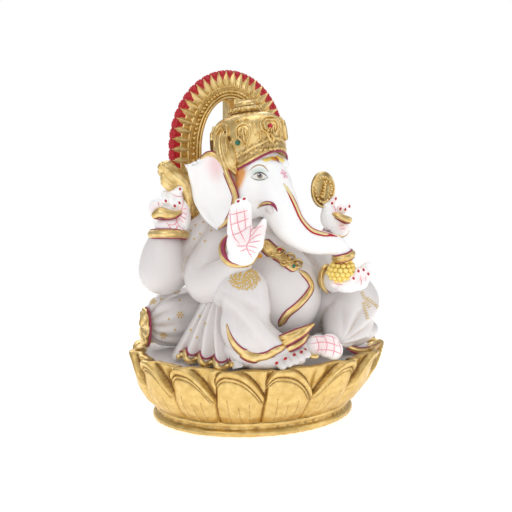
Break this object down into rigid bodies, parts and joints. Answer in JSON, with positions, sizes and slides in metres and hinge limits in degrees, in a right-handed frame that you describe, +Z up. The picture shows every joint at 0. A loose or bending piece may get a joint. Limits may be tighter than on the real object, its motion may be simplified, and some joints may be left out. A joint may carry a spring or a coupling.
{
  "type": "seated elephant-headed idol",
  "caption": "White marble-resin elephant-headed idol seated on a gilded oval lotus, with four arms, a tall crown, a pierced arch halo and gilded trim.",
  "frame": {"origin": "middle of the underside of the plinth, on the surface the idol stands on", "axes": "+Z up, -Y the way the idol faces, +X to the idol's own left"},
  "size_m": [0.196, 0.1686, 0.25],
  "materials": {
    "marble_white": "polished cast marble dust and resin, warm shading in the folds",
    "leaf_gold": "antique gold leaf paint, satin, darker in the recesses",
    "yellow_sweets": "yellow enamel",
    "red_gem": "glossy faceted stone",
    "green_gem": "glossy faceted stone"
  },
  "bodies": {
    "root": {"axe_handle": "leaf_gold", "axe_head": "leaf_gold", "bolster": "marble_white", "bolster_left_cap": "leaf_gold", "bolster_right_cap": "leaf_gold", "crown_band": "leaf_gold", "crown_body": "leaf_gold", "crown_green_stone": "green_gem", "crown_knob": "leaf_gold", "crown_left_flap": "leaf_gold", "crown_red_stone": "red_gem", "crown_right_flap": "leaf_gold", "crown_tier": "leaf_gold", "halo_arch": "leaf_gold", "halo_post": "leaf_gold", "head": "marble_white", "left_anklet": "leaf_gold", "left_ear": "marble_white", "left_foot": "marble_white", "left_front_arm": "marble_white", "left_front_bracelet": "leaf_gold", "left_front_hand": "marble_white", "left_hem": "leaf_gold", "left_leg": "marble_white", "left_rear_arm": "marble_white", "left_rear_bracelet": "leaf_gold", "left_rear_hand": "marble_white", "left_tusk": "marble_white", "lotus_base": "leaf_gold", "necklace": "leaf_gold", "necklace_green_stone": "green_gem", "necklace_red_stone": "red_gem", "noose": "leaf_gold", "noose_handle": "leaf_gold", "plinth": "leaf_gold", "right_ear": "marble_white", "right_foot": "marble_white", "right_front_arm": "marble_white", "right_front_bracelet": "leaf_gold", "right_front_hand": "marble_white", "right_hem": "leaf_gold", "right_leg": "marble_white", "right_rear_arm": "marble_white", "right_rear_bracelet": "leaf_gold", "right_rear_hand": "marble_white", "right_tusk": "marble_white", "sacred_thread": "leaf_gold", "sash": "marble_white", "sash_hem": "leaf_gold", "seat_slab": "marble_white", "sweets": "yellow_sweets", "torso": "marble_white", "trunk": "marble_white", "trunk_ring": "leaf_gold", "waist_clasp": "leaf_gold", "waist_green_stone": "green_gem"}
  },
  "joints": []
}
